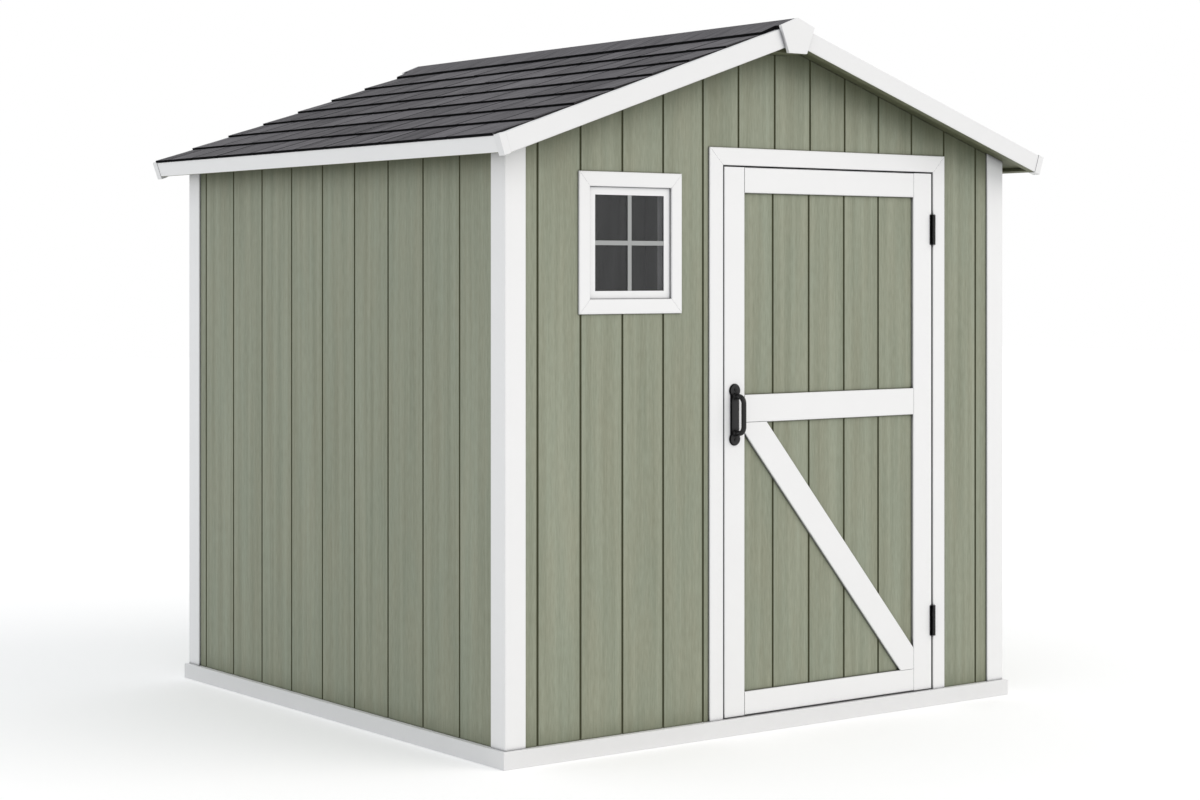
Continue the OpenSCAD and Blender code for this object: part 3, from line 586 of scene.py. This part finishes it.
COURSES = 7
SHINGLE_T = 8 * MM
SEAT = 0.3 * MM
DRIP = 3 * MM
panel_normal = upward_normal("roof_panel_left")
roof_angle = math.atan2(-panel_normal[0], panel_normal[2])
sheet_low, sheet_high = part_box("shingles_left")
cap_low, cap_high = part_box("ridge_cap")
slope_len = (-sheet_low[0] - SHINGLE_T * math.sin(roof_angle)) / math.cos(roof_angle) - DRIP
cap_slope_len = cap_high[0] / math.cos(roof_angle)
course_len = (slope_len + DRIP - cap_slope_len) / COURSES
peak_z = sheet_low[2] - SEAT * math.cos(roof_angle) + (slope_len + DRIP) * math.sin(roof_angle)
print("roof angle", round(math.degrees(roof_angle), 2), "course", round(course_len / MM, 1), "mm")
print("peak of the roof line at", round(peak_z, 4))


def slope_matrix(side):
    """From slope coordinates to the shed's: X down the slope from the peak, Z square to it.
    side is -1 for the left slope and 1 for the right."""
    down = Vector((side * math.cos(roof_angle), 0, -math.sin(roof_angle)))
    out = Vector((side * math.sin(roof_angle), 0, math.cos(roof_angle)))
    along = out.cross(down)
    turn = Matrix((down, along, out)).transposed().to_4x4()
    return Matrix.Translation((0, 0, peak_z)) @ turn


# %% [markdown]
# On the real roof each moulded course imitates a row of separate shingle tabs: uneven widths, hairline
# joints, and lower edges that step up and down by a millimetre or two, which makes each shadow line
# slightly wavy. A bump could draw them, but it would leave the courses' edges ruler straight. So one tab
# is modelled as a wedge, thin at its head and thick at its tail, with an eased lower edge. Its tail face
# takes the near-black painted-shade finish, and so does a narrow strip down each side, which draws the
# joint as a dark line.

# %% One shingle tab
HEAD_T = 0.6 * MM
LAP = 5 * MM
EASE = 0.5 * MM
SIDE_STRIP = 0.013


def shingle_tab(length):
    """A wedge from x = -LAP to its tail at x = length, one metre wide along Y, its foot at z = 0."""
    tab = block("tab", (-LAP, 0, 0), (length, 1, 1))
    pick_edges(tab, lambda a, b: a.x < 0 and b.x < 0 and a.z > 0.5 and b.z > 0.5)
    bpy.ops.transform.translate(value=(0, 0, HEAD_T / SHINGLE_T - 1))
    leave_edit()
    pick_edges(tab, lambda a, b: abs(a.y - b.y) < 0.5 and a.z > 0 and b.z > 0 and abs(a.x - b.x) > LAP)
    bpy.ops.mesh.bevel(offset=SIDE_STRIP, segments=1)
    leave_edit()
    tab.scale = (1, 1, SHINGLE_T)
    only(tab)
    bpy.ops.object.transform_apply(location=False, rotation=False, scale=True)
    pick_edges(tab, lambda a, b: a.x > 0 and b.x > 0 and a.z > 0.5 * SHINGLE_T and b.z > 0.5 * SHINGLE_T)
    bpy.ops.mesh.bevel(offset=EASE, segments=2)
    leave_edit()
    tab.data.materials.append(shingle)
    tab.data.materials.append(shingle_painted_shade)
    # The tail face and the side strips take the near-black painted-shade finish.
    for face in tab.data.polygons:
        at_side = face.center.y < SIDE_STRIP or face.center.y > 1 - SIDE_STRIP
        face.material_index = 1 if face.normal.x > 0.9 or at_side else 0
    tab.data.attributes.new("tab_tone", "FLOAT", "POINT")
    return tab


master_tab = shingle_tab(course_len)
print("one tab has", len(master_tab.data.polygons), "faces")

# %% [markdown]
# What repeats on the shed is modelled once and copied. Each copy gets its own mesh, so that it can be
# stretched and toned by itself, and the copies are then joined, with their places in the mesh.


# %% Copy, join and drop
def own_copy(piece, matrix):
    """A copy with its own mesh, placed by a matrix."""
    copy = piece.copy()
    copy.data = piece.data.copy()
    copy.matrix_world = matrix
    bpy.context.collection.objects.link(copy)
    return copy


def join_as(name, pieces):
    """Joins pieces into one named object, whose place is in its mesh."""
    only(*pieces)
    bpy.ops.object.join()
    joined = bpy.context.object
    bpy.ops.object.transform_apply(location=True, rotation=True, scale=True)
    joined.name = name
    joined.data.name = name
    return joined


def drop(piece):
    """Removes a piece that was only a tool or a pattern for others."""
    bpy.data.objects.remove(piece, do_unlink=True)


print("copying ready")

# %% [markdown]
# The copies are stretched to each tab's width and laid course by course, with the joints broken from one
# course to the next, over a thin underlay in the near-black painted-shade finish, which shows as painted
# shade in the joints. A seeded generator keeps the roof the same on every run. Each slope becomes one
# piece, which stands for the frame's sheet.

# %% Lay the courses
TAB_MIN = 140 * MM
TAB_MAX = 260 * MM
TAB_JOINT = 6 * MM
TAIL_DIP = 3 * MM
THIN = 0.92
SEED = 41
roof_from = sheet_low[1]
roof_to = sheet_high[1]


def tab_edges(draw):
    """Places of the joints along one course, from one end of the roof to the other."""
    edges = [roof_from]
    while edges[-1] < roof_to:
        edges.append(edges[-1] + draw.uniform(TAB_MIN, TAB_MAX))
    if roof_to - edges[-2] < TAB_MIN / 2:
        edges.pop()
    edges[-1] = roof_to
    return edges


def lay_slope(name, side, seed):
    """All the tabs of one slope, over a thin underlay of painted shade, joined into one piece."""
    draw = random.Random(seed)
    to_shed = slope_matrix(side)
    laid = []
    for course in range(COURSES):
        edges = tab_edges(draw)
        head = cap_slope_len + course * course_len
        for start, stop in zip(edges, edges[1:]):
            last = course == COURSES - 1
            tail = 0 if last else draw.uniform(0, TAIL_DIP)
            stretch = (course_len - tail + LAP) / (course_len + LAP)
            thick = draw.uniform(THIN, 1)
            width = stop - start - (TAB_JOINT if stop < roof_to else 0)
            low_y = start if side > 0 else -start - width
            size = Matrix.Diagonal((stretch, width, thick * (SHINGLE_T - SEAT) / SHINGLE_T, 1))
            place = Matrix.Translation((head - LAP * (1 - stretch), low_y, SEAT))
            copy = own_copy(master_tab, to_shed @ place @ size)
            tone = draw.uniform(-1, 1)
            for value in copy.data.attributes["tab_tone"].data:
                value.value = tone
            laid.append(copy)
    underlay = block("underlay", (cap_slope_len, roof_from, SEAT), (slope_len, roof_to, HEAD_T / 2))
    underlay.data.materials.append(shingle_painted_shade)
    underlay.data.attributes.new("tab_tone", "FLOAT", "POINT")
    underlay.matrix_world = to_shed
    count = len(laid)
    slope = join_as(name, laid + [underlay])
    for face in slope.data.polygons:
        at_end = min(face.center.y - roof_from, roof_to - face.center.y) < MM
        if at_end and abs(face.normal.y) > 0.9:
            face.material_index = 0
    print(name, count, "tabs,", len(slope.data.polygons), "faces")
    return slope


for side, where in ((-1, "left"), (1, "right")):
    tabs = lay_slope("shingle_tabs_" + where, side, SEED + side)
    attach(tabs, SHELL)
    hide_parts("shingles_" + where)
drop(master_tab)

# %% [markdown]
# The ridge cap is a folded strip over the peak. Its form is right in the frame, but its two lower edges
# need the same near-black painted shade as the shingle edges, and a node of the frame keeps one finish.
# So a copy takes its place: the copy's loose triangles are merged, its flat faces are made whole, and
# the faces that look sideways get the painted-shade finish.


# %% Ridge cap
def merged_copy(node_name, name):
    """A copy of a frame node with its triangles merged and its flat faces made whole."""
    copy = own_copy(nodes[node_name], Matrix.Identity(4))
    copy.parent = None
    copy.name = name
    copy.data.name = name
    only(copy)
    bpy.ops.object.mode_set(mode="EDIT")
    bpy.ops.mesh.select_all(action="SELECT")
    bpy.ops.mesh.customdata_custom_splitnormals_clear()
    bpy.ops.mesh.remove_doubles(threshold=0.02 * MM)
    bpy.ops.mesh.dissolve_limited(angle_limit=math.radians(0.5))
    bpy.ops.mesh.normals_make_consistent(inside=False)
    leave_edit()
    return copy


ridge = merged_copy("ridge_cap", "ridge_cap_strip")
ridge.data.materials.append(shingle_painted_shade)
for face in ridge.data.polygons:
    face.material_index = 1 if face.normal.z < 0.5 else 0
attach(ridge, SHELL)
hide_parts("ridge_cap")
print("ridge cap", len(ridge.data.polygons), "faces")

# %% [markdown]
# The barge and fascia boards are white in front, but what faces down, and on the fascias what faces
# inwards, takes the olive finish of the soffit, so from below no white line shows between the board and
# the soffit. Their end caps at the eaves are white all round. A frame node keeps one finish, so merged
# copies stand in for the six boards.

# %% Two-coloured roof boards
DOWN_FACING = -0.8
END_CAP = 60 * MM
for where, inward in (("left", 1), ("right", -1)):
    for node_name in ("fascia_" + where, "barge_front_" + where, "barge_back_" + where):
        board = merged_copy(node_name, node_name + "_board")
        board.data.materials.append(soffit)
        is_fascia = node_name.startswith("fascia")
        tip_x = max(abs(corner.co.x) for corner in board.data.vertices)
        for face in board.data.polygons:
            inner = is_fascia and face.normal.x * inward > 0.5
            in_cap = not is_fascia and abs(face.center.x) > tip_x - END_CAP
            olive_faced = (face.normal.z < DOWN_FACING or inner) and not in_cap
            face.material_index = 1 if olive_faced else 0
        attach(board, SHELL)
        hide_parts(node_name)
        print(board.name, len(board.data.polygons), "faces")

# %% [markdown]
# The grooves between the wall boards are sunk channels with sloping sides. They hold shade, so they look
# far darker than the boards, and here that shade is painted as a darker finish. It could be guessed from
# how closed in a place is, but the channel's own faces say it exactly: they lie a little behind the
# wall's outer plane and still look outwards. Merged copies of the boarded pieces carry the darker
# painted-shade finish on those faces.

# %% Painted shade in the board grooves
GROOVE_FROM = 0.1 * MM
GROOVE_TO = 6 * MM
# A darker sage that paints the shade in the grooves; its gloss is turned down so it stays dark.
groove_shade, groove_shader, _ = flow_marked("sage_resin_groove_painted_shade", "#565844", "#525440", 0.9)
groove_shader.inputs["Specular IOR Level"].default_value = 0.1
BOARDED = {"front_wall_left": "y", "front_wall_right": "y", "front_wall_head": "y", "back_wall": "y",
           "door_infill": "y", "left_wall": "x", "right_wall": "x"}
for node_name, facing in BOARDED.items():
    boards = merged_copy(node_name, node_name + "_boards")
    boards.data.materials.append(groove_shade)
    low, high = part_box(node_name)
    axis = "xyz".index(facing)
    side = 1 if low[axis] + high[axis] > 0 else -1
    plane = max(low[axis] * side, high[axis] * side)
    sunk = 0
    for face in boards.data.polygons:
        depth = plane - face.center[axis] * side
        if GROOVE_FROM < depth < GROOVE_TO and face.normal[axis] * side > 0.3:
            face.material_index = 1
            sunk += 1
    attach(boards, LEAF if node_name == "door_infill" else SHELL)
    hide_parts(node_name)
    print(boards.name, sunk, "groove faces of", len(boards.data.polygons))

# %% [markdown]
# The window's glazing bars form a cross of grey resin that lies on the front of the sheet, within the
# sash's depth. A cross is one moulding: its middle is a small block, and each arm is pulled out of one
# side of it, which leaves no seam where the arms meet. A ray from the middle finds where the sash
# begins, and each arm ends just short of it.

# %% Glazing bars
BAR_W = 14 * MM
BAR_T = 2.2 * MM
BAR_PLAY = 0.2 * MM
glass_low, glass_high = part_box("window_glass")
bar_x = (glass_low[0] + glass_high[0]) / 2
bar_z = (glass_low[2] + glass_high[2]) / 2
bar_y = glass_low[1] - SEAT
hub = Vector((bar_x, bar_y - BAR_T / 2, bar_z))
half_hub = Vector((BAR_W, BAR_T, BAR_W)) / 2
bars = block("glazing_bars", hub - half_hub, hub + half_hub)
for direction in ((1, 0, 0), (-1, 0, 0), (0, 0, 1), (0, 0, -1)):
    way = Vector(direction)
    hit, edge, _, _ = nodes["window_sash"].ray_cast(hub, way)
    reach = (edge - hub).length - BAR_W / 2 - BAR_PLAY
    pick_faces(bars, lambda middle, normal: normal.dot(way) > 0.9 and (middle - hub).length < BAR_W)
    bpy.ops.mesh.extrude_region_move(TRANSFORM_OT_translate={"value": way * reach})
    leave_edit()
    print("arm", direction, "meets the sash", hit, "and is", round(reach / MM, 1), "mm long")
bars.data.materials.append(bar_grey)
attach(bars, SHELL)
print("bars", BAR_W / MM, "mm wide,", len(bars.data.polygons), "faces")

# %% [markdown]
# Two screws hold the pull handle's plate, one near each end. They are pan heads with a cross recess,
# coated with the plate: a short cylinder, its rim rounded by a bevel, with two crossed blocks cut out.
# Each one is seated where a ray from the front meets the plate, so it stays on the plate at any size.

# %% Handle screws
SCREW_D = 9 * MM
SCREW_H = 2.4 * MM
RECESS_L = 4.6 * MM
RECESS_W = 1.2 * MM
FROM_END = 18 * MM


def pan_head(name):
    """A pan head screw at the origin that looks towards +Z, with a cross recess."""
    bpy.ops.object.select_all(action="DESELECT")
    bpy.ops.mesh.primitive_cylinder_add(vertices=32, radius=SCREW_D / 2, depth=SCREW_H,
                                        location=(0, 0, SCREW_H / 2))
    head = bpy.context.object
    head.name = name
    bpy.ops.object.transform_apply(location=True, rotation=True, scale=True)
    pick_edges(head, lambda a, b: a.z > SCREW_H / 2 and b.z > SCREW_H / 2)
    bpy.ops.mesh.bevel(offset=SCREW_H * 0.55, segments=4)
    leave_edit()
    for half_x, half_y in ((RECESS_L / 2, RECESS_W / 2), (RECESS_W / 2, RECESS_L / 2)):
        cutter = block("recess", (-half_x, -half_y, SCREW_H * 0.35), (half_x, half_y, 2 * SCREW_H))
        cut = head.modifiers.new("recess", "BOOLEAN")
        cut.operation = "DIFFERENCE"
        cut.object = cutter
        only(head)
        bpy.ops.object.modifier_apply(modifier=cut.name)
        drop(cutter)
    head.data.materials.append(powder_black)
    return head


handle_low, handle_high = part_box("door_handle")
handle_x = (handle_low[0] + handle_high[0]) / 2
face_front = Matrix.Rotation(math.radians(90), 4, "X")
for where, z in (("upper", handle_high[2] - FROM_END), ("lower", handle_low[2] + FROM_END)):
    hit, seat, _, _ = nodes["door_handle"].ray_cast(Vector((handle_x, -2, z)), Vector((0, 1, 0)))
    screw = pan_head("handle_screw_" + where)
    screw.matrix_world = Matrix.Translation(seat) @ face_front
    only(screw)
    bpy.ops.object.transform_apply(location=True, rotation=True, scale=True)
    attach(screw, LEAF)
    print(screw.name, "seated", hit, "at", [round(v, 4) for v in seat])
